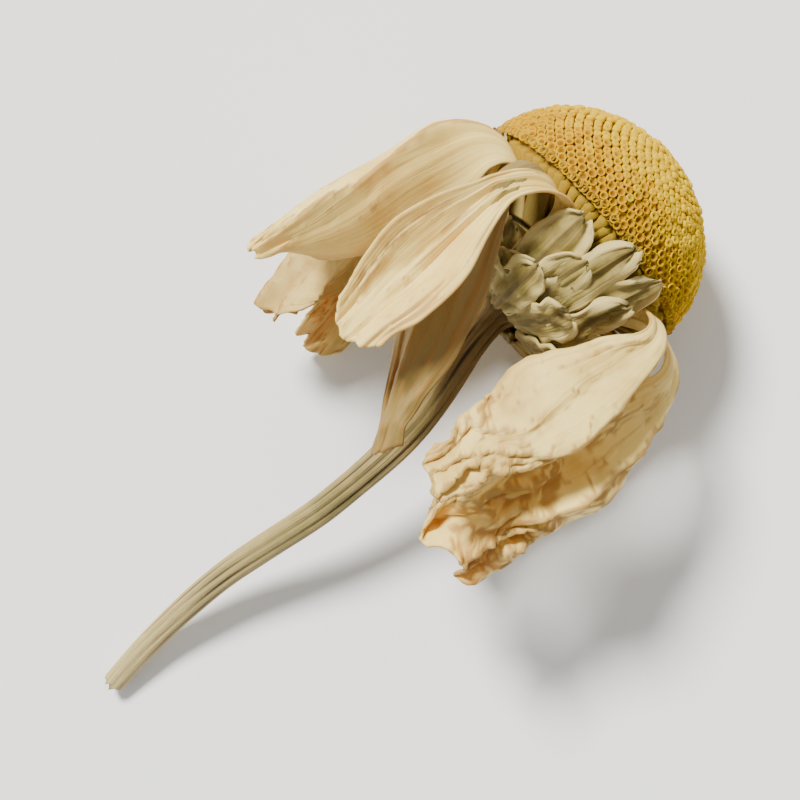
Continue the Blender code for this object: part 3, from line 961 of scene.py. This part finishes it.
def make_stage(settings):
    bm = bmesh.new()
    bmesh.ops.create_grid(bm, x_segments=1, y_segments=1, size=settings.floor_size / 2)
    mesh = bpy.data.meshes.new("floor")
    bm.to_mesh(mesh)
    bm.free()
    mesh.materials.append(stage_material(settings))
    floor = bpy.data.objects.new("floor", mesh)
    bpy.context.scene.collection.objects.link(floor)

    world = bpy.data.worlds.new("soft_sky")
    world.use_nodes = True
    sky = world.node_tree.nodes["Background"].inputs
    sky["Color"].default_value = (1, 1, 1, 1)
    sky["Strength"].default_value = settings.sky_strength
    bpy.context.scene.world = world

    light = bpy.data.lights.new("key", "SUN")
    light.energy = settings.sun_strength
    light.angle = KEY_WIDTH
    light.color = KEY_COLOUR
    key = bpy.data.objects.new("key", light)
    key.rotation_euler = KEY_TURN
    bpy.context.scene.collection.objects.link(key)

    lens = bpy.data.cameras.new("camera")
    lens.lens = LENS
    lens.sensor_width = SENSOR
    lens.clip_start = 0.001
    camera = bpy.data.objects.new("camera", lens)
    low, high = CAD_BOX
    height = FRAME_WIDTH * MM * LENS / SENSOR + HEAD_HEIGHT * MM
    middle = (Vector(low) + Vector(high)) / 2
    shift = Vector((*FRAME_SHIFT, 0)) * MM
    camera.location = (middle.x + shift.x, middle.y + shift.y, height)
    camera.rotation_euler = (0, 0, IMAGE_TURN)
    bpy.context.scene.collection.objects.link(camera)
    bpy.context.scene.camera = camera


# Operators

class CHAMOMILE_OT_stage(bpy.types.Operator):
    """Lay the pale surface, and set the camera and the soft light"""

    bl_idname = "chamomile.stage"
    bl_label = "Stage"

    def execute(self, context):
        make_stage(context.scene.chamomile_stage)
        return {"FINISHED"}


class CHAMOMILE_OT_dome(bpy.types.Operator):
    """Cover the receptacle with its florets"""

    bl_idname = "chamomile.dome"
    bl_label = "Dome of florets"

    def execute(self, context):
        settings = context.scene.chamomile_florets
        make_receptacle(settings)
        make_rim_tubes(settings)
        make_florets(settings)
        return {"FINISHED"}


class CHAMOMILE_OT_petals(bpy.types.Operator):
    """Bend the dried petals back over the bracts"""

    bl_idname = "chamomile.petals"
    bl_label = "Petals"

    def execute(self, context):
        make_petals(context.scene.chamomile_petals)
        return {"FINISHED"}


class CHAMOMILE_OT_bracts(bpy.types.Operator):
    """Lay the bracts in rows on the cup"""

    bl_idname = "chamomile.bracts"
    bl_label = "Bracts"

    def execute(self, context):
        settings = context.scene.chamomile_bracts
        make_cup(settings)
        make_bracts(settings)
        return {"FINISHED"}


class CHAMOMILE_OT_stalk(bpy.types.Operator):
    """Sweep the ridged stalk down to its cut end"""

    bl_idname = "chamomile.stalk"
    bl_label = "Stalk"

    def execute(self, context):
        make_stalk(context.scene.chamomile_stalk)
        return {"FINISHED"}


class CHAMOMILE_PT_panel(bpy.types.Panel):
    """The steps that dress the flower head"""

    bl_idname = "CHAMOMILE_PT_panel"
    bl_label = "Dried chamomile head"
    bl_space_type = "VIEW_3D"
    bl_region_type = "UI"
    bl_category = "Chamomile"

    def draw(self, context):
        for settings_name, operator in STEPS:
            box = self.layout.box()
            settings = getattr(context.scene, settings_name)
            for name in settings.__annotations__:
                box.prop(settings, name)
            box.operator(operator.bl_idname)


GROUPS = {
    "chamomile_stage": StageSettings,
    "chamomile_florets": FloretSettings,
    "chamomile_petals": PetalSettings,
    "chamomile_bracts": BractSettings,
    "chamomile_stalk": StalkSettings,
}
STEPS = (
    ("chamomile_stage", CHAMOMILE_OT_stage),
    ("chamomile_florets", CHAMOMILE_OT_dome),
    ("chamomile_petals", CHAMOMILE_OT_petals),
    ("chamomile_bracts", CHAMOMILE_OT_bracts),
    ("chamomile_stalk", CHAMOMILE_OT_stalk),
)


def register():
    for settings_name, group in GROUPS.items():
        bpy.utils.register_class(group)
        setattr(bpy.types.Scene, settings_name, bpy.props.PointerProperty(type=group))
    for _, operator in STEPS:
        bpy.utils.register_class(operator)
    bpy.utils.register_class(CHAMOMILE_PT_panel)


def unregister():
    bpy.utils.unregister_class(CHAMOMILE_PT_panel)
    for _, operator in reversed(STEPS):
        bpy.utils.unregister_class(operator)
    for settings_name, group in reversed(GROUPS.items()):
        delattr(bpy.types.Scene, settings_name)
        bpy.utils.unregister_class(group)


def main():
    register()
    bpy.ops.chamomile.stage()
    bpy.ops.chamomile.dome()
    bpy.ops.chamomile.petals()
    bpy.ops.chamomile.bracts()
    bpy.ops.chamomile.stalk()


if __name__ == "__main__":
    main()
